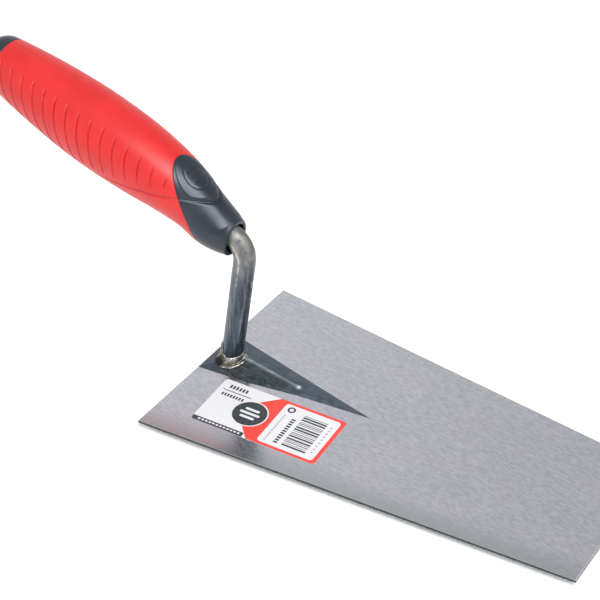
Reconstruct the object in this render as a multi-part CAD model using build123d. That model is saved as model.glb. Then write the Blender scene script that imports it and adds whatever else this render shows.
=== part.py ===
"""Brick trowel with a soft-grip handle, in millimetres.

Frame: +X runs from the heel of the blade to its toe, +Y to the blade's left side and +Z up.
The origin is on the sole of the blade, straight below the foot of the shank.
"""
import math
import os

from build123d import *

# Blade: a flat trapezoid, widest at the heel.
blade_length = 200.0
heel_width = 113.6
toe_width = 76.0
blade_thickness = 1.5
heel_x = -9.6
toe_x = heel_x + blade_length
edge_chamfer = 0.4

# Spine: a low ridged triangle forged into the top of the blade, from the heel forward.
spine_left = 15.8
spine_right = -12.8
spine_tip = (84.0, -0.5)
spine_peak = (14.0, 1.0, 3.6)
spine_ridge_end = (47.0, -1.2, 1.3)

# Shank: a round bar that leans towards the toe, bends back over the heel and becomes the tang.
shank_radius = 5.0
shank_lean = 8.3
shank_bend_start = 60.0
shank_bend_radius = 10.3
tang_rise = 24.0
tang_length = 86.0
tang_point = 3.0

# Weld bead around the foot of the shank.
weld_ring_radius = 6.1
weld_bead_radius = 2.1
weld_height = 3.6
weld_tilt = 5.0

# Grip: round sections as (x, radius) along a straight axis that rises towards the butt.
grip_slope = 18.4
grip_front_x = -41.6
grip_front_z = 92.4
grip_radii = [
    (-121.6, 12.0),
    (-111.6, 13.5),
    (-101.6, 14.8),
    (-91.6, 15.8),
    (-81.6, 16.6),
    (-61.6, 17.1),
    (grip_front_x, 16.1),
]
sleeve_thickness = 3.0

# Nose: round sections as (x, z, radius, forward tilt) where the handle turns down to its mouth.
nose_sections = [
    (-25.6, 86.0, 14.0, 27.0),
    (-13.6, 78.6, 11.8, 43.0),
    (-3.6, 71.9, 10.6, 42.0),
    (0.6, 70.6, 9.3, 24.0),
    (4.3, 70.1, 8.2, 6.5),
]

# Where the soft grip meets the bare nose, seen from the side: top, middle and bottom of one arc.
grip_front_arc = [(-27.5, 106.0), (-17.8, 90.0), (-9.5, 68.0)]

# Butt: the plane that ends the grip, leaning back less than the grip's axis does, and the cap beyond it.
butt_x = -116.1
butt_rise = 8.0
cap_radius = 12.9
cap_length = 12.0
cap_corner = 9.0
cap_spigot_radius = 6.0
cap_spigot_length = 8.0

# Mouth of the nose, where the shank comes out with clearance all round.
mouth_radius = 6.4
mouth_depth = 6.0
mouth_lip = 0.6

# Seam line round the handle, level in side view, and the thin finger grooves above it.
seam_height = 88.6
seam_width = 0.7
groove_depth = 0.7
groove_count = 15
groove_pitch = 6.3
groove_front_x = -23.4
groove_width = 0.8
groove_front_tilt = 2.0
groove_tilt_step = 1.05
groove_tops = [(-112.0, 125.3), (-93.5, 121.8), (-74.3, 117.0), (-55.2, 110.9), (-36.0, 102.8), (-23.0, 96.0)]
groove_bottom_gap = 3.5
groove_low_angle = -55.0

# Thumb pad: a low oval boss on top of the nose with a ring and three bars in it.
pad_centre_x = -14.6
pad_length = 19.0
pad_width = 18.0
pad_rise = 0.4
ring_outer = 5.6
ring_inner = 5.0
bar_length = 6.0
bar_width = 0.9
bar_spacing = 2.2
mark_depth = 0.5

# Printed label on the blade.
label_length = 61.3
label_width = 30.4
label_thickness = 0.15
label_corner = 1.5
label_turn = 3.8
label_corner_at = (16.0, -12.6)

half_space = 200.0


def from_heel(distance):
    """X position at a distance forward of the heel edge."""
    return heel_x + distance


def side_direction(rise):
    """Unit vector that points back over the heel and up by the given rise in degrees."""
    angle = math.radians(rise)
    return Vector(-math.cos(angle), 0, math.sin(angle))


def section_plane(x, z, tilt):
    """Plane of a handle section: its normal points forward and down by the tilt."""
    angle = math.radians(tilt)
    return Plane(origin=(x, 0, z), x_dir=(0, 1, 0), z_dir=(math.cos(angle), 0, -math.sin(angle)))


def grip_axis_z(x):
    """Height of the straight grip axis at a given x."""
    return grip_front_z + (grip_front_x - x) * math.tan(math.radians(grip_slope))


def handle_sections():
    """All sections from butt to mouth, as (x, z, radius, tilt)."""
    grip = [(x, grip_axis_z(x), radius, grip_slope) for x, radius in grip_radii]
    return grip + nose_sections


def handle_body(inset):
    """The handle's outer shape from butt to mouth, smaller by the inset all round."""
    circles = []
    for x, z, radius, tilt in handle_sections():
        circles.append(section_plane(x, z, tilt) * Circle(radius - inset))
    return loft(circles)


def between(rows, x):
    """The values that go with x in rows sorted by their first number."""
    for (x0, *first), (x1, *second) in zip(rows, rows[1:]):
        if x0 <= x <= x1:
            share = (x - x0) / (x1 - x0)
            return [a + (b - a) * share for a, b in zip(first, second)]
    raise ValueError("x is outside the rows")


def make_blade():
    """Flat plate with chamfered top edges, and the low faceted spine fused on top of it."""
    outline = Polyline(
        (heel_x, -heel_width / 2),
        (toe_x, -toe_width / 2),
        (toe_x, toe_width / 2),
        (heel_x, heel_width / 2),
        close=True,
    )
    plate = extrude(make_face(outline), blade_thickness)
    toe_edge = plate.edges().group_by(Axis.Z)[-1].sort_by(Axis.X)[-1]
    plate = chamfer(toe_edge, edge_chamfer)
    return plate + make_spine()


def make_spine():
    """Four shallow facets that meet in a ridge, on the top face of the plate."""
    top = blade_thickness
    left = Vector(heel_x, spine_left, top)
    right = Vector(heel_x, spine_right, top)
    tip = Vector(from_heel(spine_tip[0]), spine_tip[1], top)
    peak = Vector(from_heel(spine_peak[0]), spine_peak[1], top + spine_peak[2])
    ridge = Vector(from_heel(spine_ridge_end[0]), spine_ridge_end[1], top + spine_ridge_end[2])
    triangles = [
        (left, right, tip),
        (left, right, peak),
        (right, ridge, peak),
        (right, tip, ridge),
        (left, peak, ridge),
        (left, ridge, tip),
    ]
    faces = [Face(Wire.make_polygon(corners, close=True)) for corners in triangles]
    return Solid(Shell(faces))


def shank_path():
    """Centreline of the shank: straight up with a lean, one bend, then straight into the handle."""
    lean = math.radians(shank_lean)
    up = Vector(math.sin(lean), 0, math.cos(lean))
    foot = Vector(0, 0, 0)
    bend_start = up * (shank_bend_start / math.cos(lean))
    turn = math.radians(90 + shank_lean - tang_rise)
    centre = bend_start + Vector(-up.Z, 0, up.X) * shank_bend_radius
    back = side_direction(tang_rise)
    bend_end = centre + Vector(back.Z, 0, -back.X) * shank_bend_radius
    half = turn / 2
    spoke = bend_start - centre
    middle = centre + spoke.rotate(Axis.Y, -math.degrees(half))
    tang_end = bend_end + back * tang_length
    lower = Line(foot, bend_start)
    bend = ThreePointArc(bend_start, middle, bend_end)
    tang = Line(bend_end, tang_end)
    return lower, bend, tang


def make_shank(blade):
    """Round bar along the shank's path, cut to sit on the spine, with a pointed tang end."""
    lower, bend, tang = shank_path()
    profile = Plane(origin=lower @ 0, z_dir=lower % 0) * Circle(shank_radius)
    bar = sweep(profile, path=Wire([lower, bend, tang]))
    tang_end = bar.faces().sort_by(Axis.X)[0]
    bar = chamfer(tang_end.edges(), tang_point)
    above_sole = Pos(0, 0, half_space / 2 + blade_thickness) * Box(2 * half_space, half_space, half_space)
    return (bar & above_sole) - blade


def make_weld(blade, shank):
    """A ring of weld around the foot of the shank, lying on the spine."""
    foot_x = weld_height * math.tan(math.radians(shank_lean))
    ring = Pos(foot_x, 0, weld_height) * Rot(0, -weld_tilt, 0) * Torus(weld_ring_radius, weld_bead_radius)
    above_sole = Pos(0, 0, half_space / 2 + blade_thickness) * Box(half_space, half_space, half_space)
    return (ring & above_sole) - blade - shank


def grip_zone():
    """The space behind the arc where grip and nose meet, and in front of the butt plane."""
    top, middle, bottom = [(x, 0, z) for x, z in grip_front_arc]
    far = -2 * half_space
    front = ThreePointArc(top, middle, bottom)
    rest = Polyline(bottom, (bottom[0], 0, -half_space), (far, 0, -half_space), (far, 0, half_space),
                    (top[0], 0, half_space), top)
    behind_arc = extrude(make_face([front, rest]), half_space, both=True)
    return behind_arc - butt_zone()


def butt_plane():
    """Plane that ends the grip; its normal points out of the butt."""
    return Plane(origin=(butt_x, 0, grip_axis_z(butt_x)), x_dir=(0, 1, 0), z_dir=side_direction(butt_rise))


def butt_zone():
    """Everything beyond the butt plane."""
    return butt_plane() * Pos(0, 0, half_space / 2) * Box(half_space, half_space, half_space)


def make_grooves():
    """Thin upright slots along both sides of the grip."""
    slots = []
    for index in range(groove_count):
        x = groove_front_x - index * groove_pitch
        middle_z, radius, _ = between(handle_sections(), x)
        [top] = between(groove_tops, x)
        low = middle_z + radius * math.sin(math.radians(groove_low_angle))
        bottom = max(low, seam_height + groove_bottom_gap)
        tilt = groove_front_tilt + index * groove_tilt_step
        slot = Box(groove_width, half_space, top - bottom, align=(Align.CENTER, Align.CENTER, Align.MAX))
        slots.append(Pos(x, 0, top) * Rot(0, -tilt, 0) * slot)
    return Part() + slots


def make_seam():
    """A level slot round the handle."""
    return Pos(0, 0, seam_height) * Box(2 * half_space, half_space, seam_width)


def make_grip(outer, core_body, skin_body):
    """Soft sleeve between the core and the handle's outer shape, with its grooves and seam."""
    sleeve = (outer & grip_zone()) - core_body
    return sleeve - (make_grooves() - skin_body) - (make_seam() - skin_body)


def make_pad():
    """Oval boss on top of the nose, cut from a slightly fuller copy of the handle's shape."""
    prism = Pos(pad_centre_x, 0, 0) * extrude(Ellipse(pad_length / 2, pad_width / 2), half_space)
    above_seam = Pos(0, 0, seam_height + half_space / 2) * Box(2 * half_space, half_space, half_space)
    return handle_body(-pad_rise) & prism & above_seam


def make_pad_mark():
    """Ring and three bars, cut straight down into the pad."""
    ring = Circle(ring_outer) - Circle(ring_inner)
    bars = [Pos(offset, 0) * Rectangle(bar_width, bar_length) for offset in (-bar_spacing, 0, bar_spacing)]
    mark = Sketch() + [ring, *bars]
    return Pos(pad_centre_x, 0, 0) * extrude(mark, half_space)


def make_core(outer, core_body, skin_body):
    """Bare nose in front of the grip and the hidden core behind it, bored for the tang."""
    zone = grip_zone() + butt_zone()
    nose = (outer - zone) - (make_seam() - skin_body)
    pad = (make_pad() - zone) - (make_pad_mark() - handle_body(mark_depth - pad_rise))
    core = nose + pad + (core_body & grip_zone())
    mouth_x, mouth_z, _, mouth_tilt = nose_sections[-1]
    mouth_plane = section_plane(mouth_x, mouth_z, mouth_tilt)
    mouth = mouth_plane * Pos(0, 0, -mouth_depth / 2) * Cylinder(mouth_radius, mouth_depth)
    core -= mouth
    rim = core.faces().sort_by(Axis.X)[-1]
    core = fillet(rim.edges(), mouth_lip)
    _, bend, tang = shank_path()
    profile = Plane(origin=bend @ 0, z_dir=bend % 0) * Circle(shank_radius)
    bore = sweep(profile, path=Wire([bend, tang]))
    socket = butt_plane() * Pos(0, 0, -cap_spigot_length / 2) * Cylinder(cap_spigot_radius, cap_spigot_length)
    return core - bore - socket


def make_cap():
    """Rounded cap with a spigot that presses into the core."""
    profile = Plane.XZ * make_face(
        [
            Polyline((0, -cap_spigot_length), (cap_spigot_radius, -cap_spigot_length), (cap_spigot_radius, 0),
                     (cap_radius, 0), (cap_radius, cap_length - cap_corner)),
            RadiusArc((cap_radius, cap_length - cap_corner), (cap_radius - cap_corner, cap_length), -cap_corner),
            Polyline((cap_radius - cap_corner, cap_length), (0, cap_length), (0, -cap_spigot_length)),
        ]
    )
    return butt_plane() * revolve(profile, Axis.Z)


def make_label():
    """Thin rounded rectangle lying on the ground flat of the blade."""
    sheet = extrude(RectangleRounded(label_length, label_width, label_corner), label_thickness)
    sheet = Pos(label_length / 2, -label_width / 2, 0) * sheet
    return Pos(from_heel(label_corner_at[0]), label_corner_at[1], blade_thickness) * Rot(0, 0, label_turn) * sheet


def main():
    outer = handle_body(0)
    core_body = handle_body(sleeve_thickness)
    skin_body = handle_body(groove_depth)
    blade = make_blade()
    shank = make_shank(blade)
    nodes = {
        "blade": blade,
        "shank": shank,
        "weld_bead": make_weld(blade, shank),
        "handle_core": make_core(outer, core_body, skin_body),
        "grip_sleeve": make_grip(outer, core_body, skin_body),
        "butt_cap": make_cap(),
        "label": make_label(),
    }
    os.makedirs("parts", exist_ok=True)
    for name, shape in nodes.items():
        export_step(shape, f"parts/{name}.step")


main()
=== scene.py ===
"""Looks of the brick trowel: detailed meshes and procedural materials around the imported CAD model.

Shapes are worked out in millimetres, in the CAD model's frame, and turned into metres where a mesh is made.
+X runs from the heel of the blade to its toe, +Y to the blade's left side and +Z up.
"""

from math import cos, degrees, exp, hypot, pi, radians, sin, tan

import bmesh
import bpy
import numpy as np
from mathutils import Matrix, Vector, geometry, noise


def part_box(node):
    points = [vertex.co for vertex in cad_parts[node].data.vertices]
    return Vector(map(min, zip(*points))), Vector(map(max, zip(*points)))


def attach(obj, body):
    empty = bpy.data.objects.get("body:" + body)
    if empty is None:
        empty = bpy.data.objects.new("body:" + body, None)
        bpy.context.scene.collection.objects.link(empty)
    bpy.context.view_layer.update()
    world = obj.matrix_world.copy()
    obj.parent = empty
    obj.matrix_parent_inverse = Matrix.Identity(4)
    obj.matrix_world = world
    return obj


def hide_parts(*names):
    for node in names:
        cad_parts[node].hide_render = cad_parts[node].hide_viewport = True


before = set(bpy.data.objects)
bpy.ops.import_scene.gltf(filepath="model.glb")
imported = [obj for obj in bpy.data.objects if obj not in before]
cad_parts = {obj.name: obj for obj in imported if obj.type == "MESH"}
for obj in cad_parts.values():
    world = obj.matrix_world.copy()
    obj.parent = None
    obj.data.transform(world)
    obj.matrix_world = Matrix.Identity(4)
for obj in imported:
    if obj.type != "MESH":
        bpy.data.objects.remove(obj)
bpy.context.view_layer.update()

MM = 0.001

# ---------------- places that come from the frame


def node_box(node):
    """Lowest and highest corners of a CAD node, in millimetres."""
    low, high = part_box(node)
    return np.array(low) / MM, np.array(high) / MM


blade_low, blade_high = node_box("blade")
label_low, label_high = node_box("label")
heel_x = blade_low[0]
toe_x = blade_high[0]
heel_width = blade_high[1] - blade_low[1]
blade_thickness = label_low[2]
label_centre = (label_low + label_high) / 2

# ---------------- driving dimensions

# Blade plate and its edges; edge_points counts the points along its right side, toe, left side and heel.
toe_width = 76.0
side_slope = (heel_width - toe_width) / 2 / (toe_x - heel_x)
side_bevel = 0.18
toe_bevel = 0.5
toe_bevel_drop = 0.25
edge_points = (50, 20, 50, 28)
grinding_turn = -8.0
# Width of the band of painted darker reflection along the plate's right edge.
edge_shade_band = 14.0

# Spine outline in plan as (distance from the heel edge, y), and its crest as (distance, y, height).
spine_right_side = [(0.0, -12.8), (24.0, -10.0), (50.0, -5.0)]
spine_tip = (84.0, -0.5)
spine_left_side = [(0.0, 15.8), (23.0, 11.3), (50.0, 5.9)]
spine_crest = [(0.0, 1.5, 4.6), (14.0, 1.0, 3.6), (47.0, -1.2, 1.3), (70.0, -0.9, 0.35), (84.0, -0.5, 0.0)]
heel_facet_slope = 3.6 / 14.0
ridge_bead_height = 0.3
ridge_bead_width = 0.8
ridge_bead_end = 0.45
ridge_end_radius = 0.9
forging_dents = 0.09

# Shank centreline: a lean towards the toe, one bend, then the tang.
shank_radius = 5.0
shank_lean = 8.3
shank_bend_start = 60.0
shank_bend_radius = 10.3
tang_rise = 24.0
tang_length = 86.0
tang_point = 3.0
shank_foot_height = 2.2
# Turn and spread of the painted highlight streak over the bend.
highlight_streak_turn = 272.0
highlight_streak_spread = 2.8
fleck_turn = -4.0

# Weld collar: a hollow fillet, wider on the right side and climbing the shank's back.
weld_reach = 7.3
weld_reach_swing = 1.6
weld_reach_turn = -62.0
weld_rise = 2.2
weld_climb = 7.0
weld_climb_turn = 213.0
weld_climb_spread = 26.0
weld_lip_turn = -42.0
weld_lip_spread = 44.0
# The crown stays bright; the lip's rims beside it are painted darker as shade.
weld_crown_turn = -80.0
weld_crown_spread = 24.0
# Pocket behind the lip: the bead sinks there and is painted dark as shade.
weld_pocket_turn = -118.0
weld_pocket_spread = 40.0

# Grip: a straight middle line that rises to the rear from grip_front, with radii as (x, radius).
# Nose: sections as (x, z, radius, forward tilt in degrees). They meet on an arc through three (x, z) points.
grip_slope = 18.4
grip_front = (-41.6, 92.4)
grip_radii = [(-121.6, 12.0), (-111.6, 13.5), (-101.6, 14.8), (-91.6, 15.8), (-81.6, 16.6), (-61.6, 17.1),
              (-41.6, 16.1)]
nose_sections = [(-25.6, 86.0, 14.0, 27.0), (-13.6, 78.6, 11.8, 43.0), (-3.6, 71.9, 10.6, 42.0),
                 (0.6, 70.6, 9.3, 24.0), (4.3, 70.1, 8.2, 6.5)]
sleeve_thickness = 3.0
core_gap = 0.05
grip_front_arc = [(-27.5, 106.0), (-17.8, 90.0), (-9.5, 68.0)]
butt_x = -116.1
joint_bevel = 0.25

# Mouth of the nose.
mouth_radius = 6.4
mouth_depth = 6.0
mouth_lip = 0.65

# Cap and its spigot; butt_rise leans the butt plane, in degrees.
butt_rise = 8.0
cap_radius = 12.65
cap_length = 12.0
cap_corner = 9.0
cap_spigot_radius = 5.9
cap_spigot_length = 7.8

# Seam round the handle: level, then dropping over the nose.
seam_height = 88.6
seam_drop_x = -15.0
seam_drop_length = 10.4
seam_drop = 2.2
seam_depth = 0.5
seam_half_width = 0.42
seam_step = 0.14

# Fine parting line along the top and the underside; its half width is in degrees round the handle.
parting_depth = 0.14
parting_half_width = 1.2

# Finger grooves above the seam.
groove_count = 15
groove_pitch = 6.31
groove_front_x = -23.9
groove_front_tilt = 2.5
groove_tilt_step = 1.05
groove_tops = [(-112.0, 124.9), (-93.5, 121.1), (-74.3, 116.1), (-55.2, 110.0), (-36.0, 101.8), (-23.0, 95.0)]
groove_bow = 0.2
groove_full_length = 14.0
groove_hook = 0.3
groove_hook_length = 1.2
groove_depth = 0.62
groove_half_width = 0.36
groove_lip = 0.1
groove_top_depth = 0.7
groove_fade = 1.5
groove_bottom_gap = 3.9
groove_lowest_angle = -52.0

# Thumb pad on the nose, with a ring and three bars pressed into it.
pad_x = -15.4
pad_half_length = 8.7
pad_half_width = 9.0
pad_rise = 0.22
pad_flat = 0.45
ring_radius = 5.3
mark_width = 0.34
mark_depth = 0.15
bar_spacing = 2.2
bar_half_length = 3.0

# Mesh fineness: points round a ring, rings along a skin, and the shank's step in millimetres.
around = 208
grip_rows = 400
bore_rows = 40
core_rows = 30
nose_rows = 190
shank_around = 96
shank_step = 0.6
weld_around = 200
crossing_halvings = 40

# ---------------- mesh helpers


def quads_between(ring_count, columns, closed=False):
    """Quads that join rings of points, each ring to the next; closed joins the last ring to the first."""
    index = np.arange(ring_count * columns).reshape(ring_count, columns)
    if closed:
        index = np.vstack([index, index[:1]])
    lower = index[:-1]
    upper = index[1:]
    corners = [lower, np.roll(lower, -1, axis=1), np.roll(upper, -1, axis=1), upper]
    return np.stack(corners, axis=-1).reshape(-1, 4).tolist()


def capped(rings):
    """Points and faces of a tube through the rings, with a fan of triangles on each end."""
    rings = np.asarray(rings)
    count, columns = rings.shape[:2]
    points = np.vstack([rings.reshape(-1, 3), rings[0].mean(axis=0), rings[-1].mean(axis=0)])
    faces = quads_between(count, columns)
    last_ring = (count - 1) * columns
    for start, middle in ((0, len(points) - 2), (last_ring, len(points) - 1)):
        faces += [(start + i, start + (i + 1) % columns, middle) for i in range(columns)]
    return points, faces


def make_piece(name, points, faces, materials, face_material=None, mask=None, crease=None):
    """A mesh object in metres from points in millimetres, with outward normals and smooth shading."""
    mesh = bpy.data.meshes.new(name)
    mesh.from_pydata((np.asarray(points) * MM).tolist(), [], faces)
    for mat in materials:
        mesh.materials.append(mat)
    if face_material is not None:
        mesh.polygons.foreach_set("material_index", np.asarray(face_material, dtype=np.int32))
    if mask is not None:
        layer = mesh.attributes.new("mask", "FLOAT", "POINT")
        layer.data.foreach_set("value", np.asarray(mask, dtype=np.float32))
    work = bmesh.new()
    work.from_mesh(mesh)
    bmesh.ops.remove_doubles(work, verts=work.verts, dist=1e-7)
    bmesh.ops.recalc_face_normals(work, faces=work.faces)
    work.to_mesh(mesh)
    work.free()
    mesh.shade_smooth()
    if crease is not None:
        mesh.set_sharp_from_angle(angle=radians(crease))
    piece = bpy.data.objects.new(name, mesh)
    bpy.context.scene.collection.objects.link(piece)
    return piece


def finish_piece(piece, node):
    """The piece rides on the trowel's one body and stands for a CAD node."""
    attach(piece, "root")
    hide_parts(node)


def wobble(points, size, seed):
    """Smooth noise from -1 to 1 at each point, with bumps about size millimetres long."""
    offset = Vector((seed * 17.3, seed * 5.1, seed * 9.7))
    return np.array([noise.noise(Vector(point) / size + offset) for point in np.asarray(points)])


def smooth_step(value, low, high):
    """0 below low, 1 above high, and a smooth rise between."""
    share = np.clip((value - low) / (high - low), 0.0, 1.0)
    return share * share * (3.0 - 2.0 * share)


# ---------------- material helpers


def add_node(mat, kind, inputs=None, **properties):
    """A new shader node; each input takes a socket to link to, or a plain value."""
    node = mat.node_tree.nodes.new("ShaderNode" + kind)
    for name, value in properties.items():
        setattr(node, name, value)
    for name, value in (inputs or {}).items():
        set_input(mat, node.inputs[name], value)
    return node


def set_input(mat, socket, value):
    """Links a socket to the input, or sets the input's own value."""
    if isinstance(value, bpy.types.NodeSocket):
        mat.node_tree.links.new(value, socket)
    else:
        socket.default_value = value


def shader_inputs(mat, values):
    """Sets or links inputs of the material's Principled shader."""
    shader = mat.node_tree.nodes["Principled BSDF"]
    for name, value in values.items():
        set_input(mat, shader.inputs[name], value)


def new_material(name, **values):
    """A material with a Principled shader; spaces in socket names are written as underscores."""
    mat = bpy.data.materials.new(name)
    mat.use_nodes = True
    shader_inputs(mat, {key.replace("_", " "): value for key, value in values.items()})
    return mat


def finished(mat, color, roughness, height, depth):
    """The material with its colour, its roughness and a bump of the given depth in millimetres."""
    bump = add_node(mat, "Bump", {"Height": height, "Distance": depth * MM, "Strength": 1.0})
    shader_inputs(mat, {"Base Color": color, "Roughness": roughness, "Normal": bump.outputs["Normal"]})
    return mat


def grain(mat, size, detail=2.0, distortion=0.0, turn=0.0):
    """Value of a noise whose features measure size, a number or (x, y, z), in millimetres, turned about Z."""
    mapping = add_node(mat, "Mapping", {
        "Vector": add_node(mat, "TexCoord").outputs["Object"],
        "Rotation": (0.0, 0.0, radians(turn)),
        "Scale": [length * MM for length in np.broadcast_to(size, 3)],
    }, vector_type="TEXTURE")
    texture = add_node(mat, "TexNoise", {
        "Vector": mapping.outputs["Vector"],
        "Scale": 1.0,
        "Detail": detail,
        "Distortion": distortion,
    })
    return texture.outputs["Fac"]


def spread(mat, value, low, high, out_low=0.0, out_high=1.0):
    """Maps a value from low..high to out_low..out_high, smoothly and clamped."""
    node = add_node(mat, "MapRange", {
        "Value": value,
        "From Min": low,
        "From Max": high,
        "To Min": out_low,
        "To Max": out_high,
    }, interpolation_type="SMOOTHSTEP")
    return node.outputs["Result"]


def blend_colors(mat, factor, first, second):
    """Mix of two colours, each a socket or an RGB triple."""
    node = add_node(mat, "Mix", {}, data_type="RGBA")
    set_input(mat, node.inputs["Factor"], factor)
    for slot_name, color in (("A", first), ("B", second)):
        socket = next(s for s in node.inputs if s.name == slot_name and s.type == "RGBA")
        if not isinstance(color, bpy.types.NodeSocket):
            color = (*color, 1.0)
        set_input(mat, socket, color)
    return next(s for s in node.outputs if s.type == "RGBA")


def two_tone(mat, value, first, second, middle=0.2):
    """Colour that runs from the first to the second over the middle of the value's range."""
    return blend_colors(mat, spread(mat, value, 0.5 - middle, 0.5 + middle), first, second)


def between(mat, value, first, second):
    """Number that runs from the first to the second over the middle of the value's range."""
    return spread(mat, value, 0.3, 0.7, first, second)


def combine(mat, operation, first, second):
    """A math node on two values."""
    return add_node(mat, "Math", {0: first, 1: second}, operation=operation).outputs["Value"]


def larger(mat, first, second):
    """The larger of two values."""
    return combine(mat, "MAXIMUM", first, second)


def dot_product(mat, vector, direction):
    """How far a vector goes in a direction."""
    return add_node(mat, "VectorMath", {0: vector, 1: direction}, operation="DOT_PRODUCT").outputs["Value"]


def object_place(mat, axis):
    """One coordinate of the shaded point on its piece, in metres."""
    coordinates = add_node(mat, "TexCoord").outputs["Object"]
    return add_node(mat, "SeparateXYZ", {"Vector": coordinates}).outputs[axis]


def shade_highlight_and_wear(mat):
    """Mask stored on the mesh, 0 to 1: painted shade in grooves, seams and marks, heat tint and painted shade
    on the weld, a painted highlight with rubbing on the spine's ridge, and a painted highlight streak with
    scuffed flecks on the shank.
    """
    return add_node(mat, "Attribute", attribute_name="mask").outputs["Fac"]


# ---------------- materials


def edge_distance(mat):
    """How far the shaded point lies in from the plate's right edge, in metres."""
    place = add_node(mat, "TexCoord").outputs["Object"]
    along = dot_product(mat, place, (-side_slope, 1.0, 0.0))
    return combine(mat, "ADD", along, (heel_width / 2 + side_slope * heel_x) * MM)


def ground_steel():
    """Bright ground steel: short streaks, a little askew, faint tints, and a painted darker reflection along
    the right edge.
    """
    mat = new_material("ground_steel", Metallic=1.0)
    blotches = grain(mat, (3.0, 0.95, 5.0), detail=4.0, distortion=0.4, turn=grinding_turn)
    streaks = grain(mat, (9.0, 0.35, 5.0), turn=grinding_turn)
    clouds = grain(mat, (34.0, 20.0, 20.0))
    steel = two_tone(mat, blotches, (0.52, 0.525, 0.585), (0.75, 0.75, 0.82))
    tinted = two_tone(mat, clouds, (0.59, 0.615, 0.66), (0.66, 0.635, 0.71), middle=0.15)
    clean = blend_colors(mat, 0.42, steel, tinted)
    # Painted darker reflection: strongest at the right edge, fading out inward.
    edge_shade = spread(mat, edge_distance(mat), 0.0, edge_shade_band * MM, 0.8, 0.0)
    color = blend_colors(mat, edge_shade, clean, (0.47, 0.49, 0.51))
    roughness = spread(mat, blotches, 0.25, 0.75, 0.17, 0.23)
    return finished(mat, color, roughness, combine(mat, "ADD", streaks, blotches), 0.008)


def sheared_and_shaded_edge_steel():
    """Dull steel of the plate's shear-cut edges, painted near black as the shade along them."""
    mat = new_material("sheared_and_shaded_edge_steel", Metallic=1.0)
    marks = grain(mat, (0.5, 0.5, 3.0), detail=3.0)
    # Near-black colour: painted shade on the edge faces.
    color = two_tone(mat, marks, (0.045, 0.05, 0.055), (0.09, 0.095, 0.10))
    return finished(mat, color, between(mat, marks, 0.45, 0.6), marks, 0.03)


def honed_bevel_highlight_steel():
    """Bare steel of the fine bevel along the toe, painted brighter than the plate as the bevel's highlight.
    """
    mat = new_material("honed_bevel_highlight_steel", Metallic=1.0)
    marks = grain(mat, 2.0)
    # Light colour: painted highlight on the bevel.
    color = two_tone(mat, marks, (0.78, 0.79, 0.76), (0.90, 0.90, 0.87))
    return finished(mat, color, between(mat, marks, 0.2, 0.3), marks, 0.01)


def forged_spine_steel():
    """Forged steel: greenish black right of the shank, blue-grey towards tip, left side and heel; partly
    forging skin, partly painted shade on the right side and painted light on the tip, heel and left side.
    """
    mat = new_material("forged_spine_steel", Metallic=0.5)
    mottle = grain(mat, (5.0, 3.0, 5.0), detail=4.0, distortion=0.6)
    scratches = grain(mat, (6.0, 0.3, 3.0))
    dark = two_tone(mat, mottle, (0.020, 0.032, 0.036), (0.054, 0.072, 0.080))
    blue = two_tone(mat, mottle, (0.046, 0.068, 0.092), (0.082, 0.110, 0.142))
    place_x = object_place(mat, "X")
    towards_tip = spread(mat, place_x, 0.020, 0.052)
    towards_heel = spread(mat, place_x, -0.002, -0.005)
    on_left = spread(mat, object_place(mat, "Y"), -0.001, 0.003)
    # The split at the crest paints the right side darker as shade and the tip, heel and left side lighter as
    # light.
    base = blend_colors(mat, larger(mat, larger(mat, towards_tip, towards_heel), on_left), dark, blue)
    # Lighter steel from scratches and from the painted highlight along the ridge.
    worn_and_lit = larger(mat, spread(mat, scratches, 0.62, 0.74, 0.0, 0.4), shade_highlight_and_wear(mat))
    color = blend_colors(mat, worn_and_lit, base, (0.50, 0.54, 0.59))
    return finished(mat, color, between(mat, mottle, 0.40, 0.54), mottle, 0.06)


def forged_shank_steel():
    """Drawn round bar: blue-grey, straw tinted at the bend, with streaks, dark nicks, bright scuffed flecks
    and a painted highlight line over the bend.
    """
    mat = new_material("forged_shank_steel", Metallic=1.0)
    streaks = grain(mat, (1.1, 1.1, 16.0), detail=3.0, distortion=0.2)
    mottle = grain(mat, (4.0, 4.0, 7.0), detail=3.0)
    nicks = grain(mat, (1.3, 1.3, 2.2), detail=1.0)
    height = object_place(mat, "Z")
    low_color = two_tone(mat, streaks, (0.063, 0.083, 0.096), (0.142, 0.18, 0.206))
    high_color = two_tone(mat, mottle, (0.155, 0.152, 0.162), (0.32, 0.315, 0.295))
    clean = blend_colors(mat, spread(mat, height, 0.048, 0.066), low_color, high_color)
    nicked = blend_colors(mat, spread(mat, nicks, 0.70, 0.76), clean, (0.05, 0.055, 0.06))
    # Bright colour where the mask is: painted highlight streak and scuffed flecks.
    color = blend_colors(mat, shade_highlight_and_wear(mat), nicked, (0.75, 0.76, 0.77))
    roughness = spread(mat, height, 0.05, 0.07, 0.36, 0.56)
    return finished(mat, color, roughness, combine(mat, "ADD", streaks, nicks), 0.05)


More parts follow.
